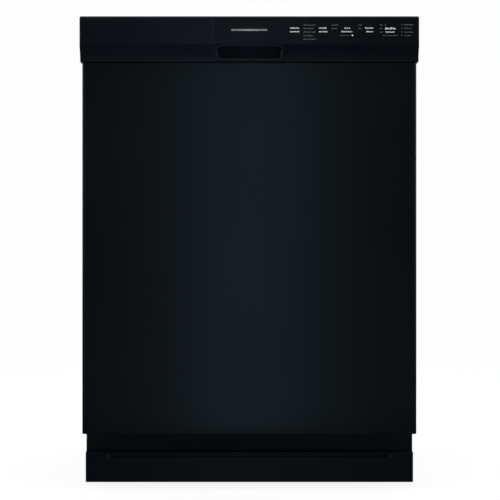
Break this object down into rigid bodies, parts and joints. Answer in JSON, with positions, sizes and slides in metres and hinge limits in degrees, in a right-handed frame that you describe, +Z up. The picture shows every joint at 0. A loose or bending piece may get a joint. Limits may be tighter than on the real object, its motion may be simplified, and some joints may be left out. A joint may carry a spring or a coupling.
{
  "type": "dishwasher",
  "caption": "Black front-control built-in dishwasher with pocket handle, drop-down door, rolling racks, spray arms, cutlery basket and adjustable feet.",
  "frame": {"origin": "on the floor, under the middle of the closed machine's width and depth, with its feet screwed right in", "axes": "+Z up, the door faces -Y, +X to the right as seen from the front"},
  "size_m": [0.608, 0.6352, 0.851],
  "materials": {
    "door_paint": "gloss black enamel",
    "toe_paint": "satin black",
    "console_plastic": "gloss black",
    "overlay_film": "high gloss black with grey legends",
    "key_plastic": "gloss black",
    "liner_plastic": "fine satin grey",
    "tub_plastic": "satin grey",
    "dispenser_plastic": "light grey",
    "cap_plastic": "blue",
    "seal_rubber": "soft matt",
    "blanket_fibre": "quilted fibre with foil-grey scrim",
    "steel_frame": "galvanised",
    "spring_steel": "oiled",
    "screw_steel": "zinc",
    "black_screw": "black",
    "foot_plastic": "black",
    "pump_plastic": "off-white",
    "impeller_plastic": "natural",
    "sump_plastic": "grey",
    "hose_plastic": "corrugated grey",
    "fill_hose": "black",
    "board": "green laminate",
    "heater_sheath": "heat-darkened sheath",
    "arm_plastic": "grey",
    "filter_mesh": "perforated",
    "filter_plastic": "grey",
    "wire_coat": "blue-grey nylon coat",
    "wheel_plastic": "grey",
    "basket_plastic": "grey"
  },
  "bodies": {
    "cabinet": {"tub": "tub_plastic", "tub_gasket": "seal_rubber", "insulation_blanket": "blanket_fibre", "mounting_brackets": "steel_frame", "strike_plate": "steel_frame", "base_frame": "steel_frame", "kick_plate": "toe_paint", "kick_screws": "black_screw", "access_panel": "toe_paint", "sump": "sump_plastic", "filter_plate": "filter_mesh", "circulation_pump": "pump_plastic", "drain_pump": "pump_plastic", "drain_hose": "hose_plastic", "inlet_valve": "pump_plastic", "inlet_hose": "fill_hose", "heating_element": "heater_sheath", "feed_tube": "arm_plastic", "rail_guides": "wheel_plastic", "door_springs": "spring_steel"},
    "door": {"door_outer_panel": "door_paint", "door_inner_liner": "liner_plastic", "door_seal": "seal_rubber", "door_screws": "screw_steel", "hinge_arms": "steel_frame", "detergent_dispenser": "dispenser_plastic", "vent_cover": "liner_plastic", "console": "console_plastic", "control_overlay": "overlay_film", "handle_pocket": "console_plastic", "control_board": "board", "latch_housing": "sump_plastic"},
    "key_wash_cycles_cap": {"key_wash_cycles": "key_plastic"},
    "key_wash_temp_cap": {"key_wash_temp": "key_plastic"},
    "key_dry_option_cap": {"key_dry_option": "key_plastic"},
    "key_delay_time_cap": {"key_delay_time": "key_plastic"},
    "key_start_cancel_cap": {"key_start_cancel": "key_plastic"},
    "latch_hook_body": {"latch_hook": "sump_plastic"},
    "detergent_flap_body": {"detergent_cover": "dispenser_plastic"},
    "rinse_cap_body": {"rinse_aid_cap": "cap_plastic"},
    "foot_front_left": {"leg_front_left": "foot_plastic"},
    "foot_front_right": {"leg_front_right": "foot_plastic"},
    "foot_rear_left": {"leg_rear_left": "foot_plastic"},
    "foot_rear_right": {"leg_rear_right": "foot_plastic"},
    "pump_rotor": {"pump_impeller": "impeller_plastic"},
    "lower_arm": {"lower_spray_arm": "arm_plastic"},
    "fine_filter": {"filter_cylinder": "filter_plastic"},
    "float": {"float_dome": "filter_plastic"},
    "sliding_rails": {"upper_rails": "steel_frame"},
    "upper_rack_body": {"upper_rack": "wire_coat", "rack_manifold": "arm_plastic"},
    "middle_arm": {"middle_spray_arm": "arm_plastic"},
    "upper_wheel_pair_front": {"upper_wheels_front": "wheel_plastic"},
    "upper_wheel_pair_rear": {"upper_wheels_rear": "wheel_plastic"},
    "left_shelf": {"cup_shelf_left": "wire_coat"},
    "right_shelf": {"cup_shelf_right": "wire_coat"},
    "lower_rack_body": {"lower_rack": "wire_coat"},
    "lower_wheel_pair_front": {"lower_wheels_front": "wheel_plastic"},
    "lower_wheel_pair_rear": {"lower_wheels_rear": "wheel_plastic"},
    "basket": {"cutlery_basket": "basket_plastic"}
  },
  "joints": [
    {"name": "door_hinge", "type": "hinge", "parent": "cabinet", "child": "door", "pos_m": [0, -0.246, 0.135], "axis": [1, 0, 0], "range_deg": [0, 90], "stiffness_Nm_per_rad": 16.5, "deforming": ["door_springs"]},
    {"name": "press_wash_cycles", "type": "slide", "parent": "door", "child": "key_wash_cycles_cap", "axis": [0, 1, 0], "range_m": [0, 0.001], "stiffness_N_per_m": 600},
    {"name": "press_wash_temp", "type": "slide", "parent": "door", "child": "key_wash_temp_cap", "axis": [0, 1, 0], "range_m": [0, 0.001], "stiffness_N_per_m": 600},
    {"name": "press_dry_option", "type": "slide", "parent": "door", "child": "key_dry_option_cap", "axis": [0, 1, 0], "range_m": [0, 0.001], "stiffness_N_per_m": 600},
    {"name": "press_delay_time", "type": "slide", "parent": "door", "child": "key_delay_time_cap", "axis": [0, 1, 0], "range_m": [0, 0.001], "stiffness_N_per_m": 600},
    {"name": "press_start_cancel", "type": "slide", "parent": "door", "child": "key_start_cancel_cap", "axis": [0, 1, 0], "range_m": [0, 0.001], "stiffness_N_per_m": 600},
    {"name": "latch_hook_lift", "type": "hinge", "parent": "door", "child": "latch_hook_body", "pos_m": [0, -0.2763, 0.838], "axis": [-1, 0, 0], "range_deg": [0, 8], "stiffness_Nm_per_rad": 0.4, "springref_deg": -5.73},
    {"name": "detergent_flap", "type": "hinge", "parent": "door", "child": "detergent_flap_body", "pos_m": [-0.033, -0.2118, 0.451], "axis": [-1, 0, 0], "range_deg": [0, 100]},
    {"name": "rinse_cap_turn", "type": "hinge", "parent": "door", "child": "rinse_cap_body", "pos_m": [0.046, -0.215, 0.498], "axis": [0, -1, 0], "range_deg": [0, 90]},
    {"name": "screw_out_front_left", "type": "slide", "parent": "cabinet", "child": "foot_front_left", "axis": [0, 0, -1], "range_m": [0, 0.038]},
    {"name": "screw_out_front_right", "type": "slide", "parent": "cabinet", "child": "foot_front_right", "axis": [0, 0, -1], "range_m": [0, 0.038]},
    {"name": "screw_out_rear_left", "type": "slide", "parent": "cabinet", "child": "foot_rear_left", "axis": [0, 0, -1], "range_m": [0, 0.038]},
    {"name": "screw_out_rear_right", "type": "slide", "parent": "cabinet", "child": "foot_rear_right", "axis": [0, 0, -1], "range_m": [0, 0.038]},
    {"name": "pump_spin", "type": "hinge", "parent": "cabinet", "child": "pump_rotor", "pos_m": [-0.1, 0.024, 0.084], "axis": [1, 0, 0], "continuous": true},
    {"name": "lower_arm_spin", "type": "hinge", "parent": "cabinet", "child": "lower_arm", "pos_m": [0, 0.024, 0.167], "axis": [0, 0, 1], "continuous": true},
    {"name": "filter_twist", "type": "hinge", "parent": "cabinet", "child": "fine_filter", "pos_m": [0.075, -0.06, 0.11], "axis": [0, 0, 1], "range_deg": [0, 90]},
    {"name": "float_lift", "type": "slide", "parent": "cabinet", "child": "float", "axis": [0, 0, 1], "range_m": [0, 0.012]},
    {"name": "upper_rail_slide", "type": "slide", "parent": "cabinet", "child": "sliding_rails", "axis": [0, -1, 0], "range_m": [0, 0.2251]},
    {"name": "upper_rack_slide", "type": "slide", "parent": "sliding_rails", "child": "upper_rack_body", "axis": [0, -1, 0], "range_m": [0, 0.2251]},
    {"name": "middle_arm_spin", "type": "hinge", "parent": "upper_rack_body", "child": "middle_arm", "pos_m": [0, 0.024, 0.539], "axis": [0, 0, 1], "continuous": true},
    {"name": "upper_wheels_front_roll", "type": "hinge", "parent": "upper_rack_body", "child": "upper_wheel_pair_front", "pos_m": [0, 0.06, 0.636], "axis": [1, 0, 0], "continuous": true},
    {"name": "upper_wheels_rear_roll", "type": "hinge", "parent": "upper_rack_body", "child": "upper_wheel_pair_rear", "pos_m": [0, 0.224, 0.636], "axis": [1, 0, 0], "continuous": true},
    {"name": "cup_shelf_left_fold", "type": "hinge", "parent": "upper_rack_body", "child": "left_shelf", "pos_m": [-0.225, 0, 0.664], "axis": [0, -1, 0], "range_deg": [0, 85]},
    {"name": "cup_shelf_right_fold", "type": "hinge", "parent": "upper_rack_body", "child": "right_shelf", "pos_m": [0.225, 0, 0.664], "axis": [0, 1, 0], "range_deg": [0, 85]},
    {"name": "lower_rack_slide", "type": "slide", "parent": "cabinet", "child": "lower_rack_body", "axis": [0, -1, 0], "range_m": [0, 0.1501]},
    {"name": "lower_wheels_front_roll", "type": "hinge", "parent": "lower_rack_body", "child": "lower_wheel_pair_front", "pos_m": [0, -0.092, 0.18], "axis": [1, 0, 0], "continuous": true},
    {"name": "lower_wheels_rear_roll", "type": "hinge", "parent": "lower_rack_body", "child": "lower_wheel_pair_rear", "pos_m": [0, 0.196, 0.18], "axis": [1, 0, 0], "continuous": true},
    {"name": "basket_lift", "type": "slide", "parent": "lower_rack_body", "child": "basket", "axis": [0, 0, 1], "range_m": [0, 0.12]}
  ],
  "couplings": [
    {"joint": "upper_rail_slide", "follows": "door_hinge", "m_per_rad": 0.14324},
    {"joint": "upper_rack_slide", "follows": "door_hinge", "m_per_rad": 0.14324},
    {"joint": "upper_wheels_front_roll", "follows": "door_hinge", "ratio": 11.937},
    {"joint": "upper_wheels_rear_roll", "follows": "door_hinge", "ratio": 11.937},
    {"joint": "lower_rack_slide", "follows": "door_hinge", "m_per_rad": 0.095493},
    {"joint": "lower_wheels_front_roll", "follows": "door_hinge", "ratio": 5.6172},
    {"joint": "lower_wheels_rear_roll", "follows": "door_hinge", "ratio": 5.6172}
  ]
}
